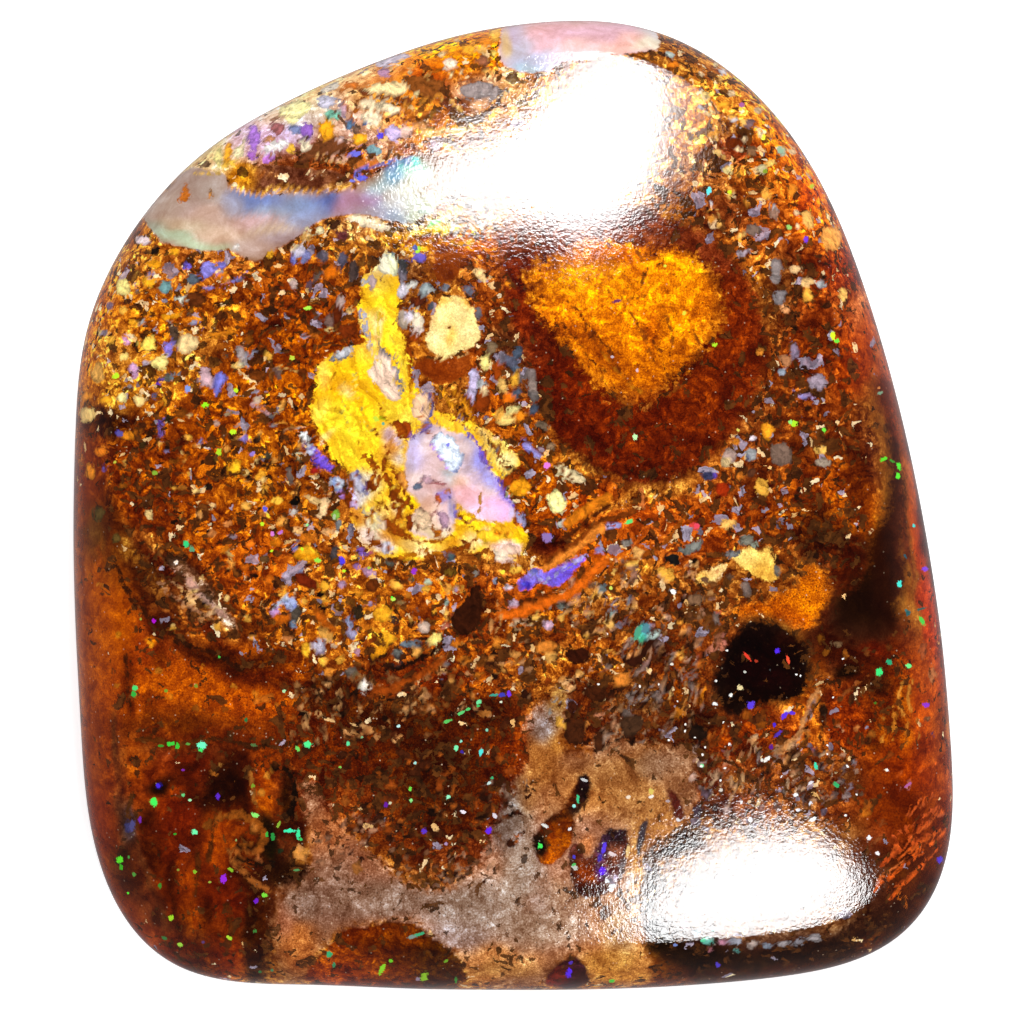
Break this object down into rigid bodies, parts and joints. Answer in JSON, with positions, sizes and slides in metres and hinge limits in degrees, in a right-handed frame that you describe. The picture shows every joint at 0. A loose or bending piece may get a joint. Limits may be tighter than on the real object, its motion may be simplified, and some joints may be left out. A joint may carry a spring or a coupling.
{
  "type": "boulder opal cabochon",
  "caption": "Free-form polished boulder opal with a domed face of sandstone, ironstone and opal patches, and a flat back to rest on.",
  "frame": {"origin": "middle of the outline's box, on the plane of the flat back", "axes": "+Z out of the domed face, +Y towards the narrow end, +X towards the long straight side"},
  "size_m": [0.0182, 0.02, 0.0053],
  "materials": {
    "opal_stone": "polished, mottled amber, brown and cream ironstone matrix with milky blue, lilac and yellow opal"
  },
  "bodies": {
    "root": {"opal_stone": "opal_stone"}
  },
  "joints": []
}
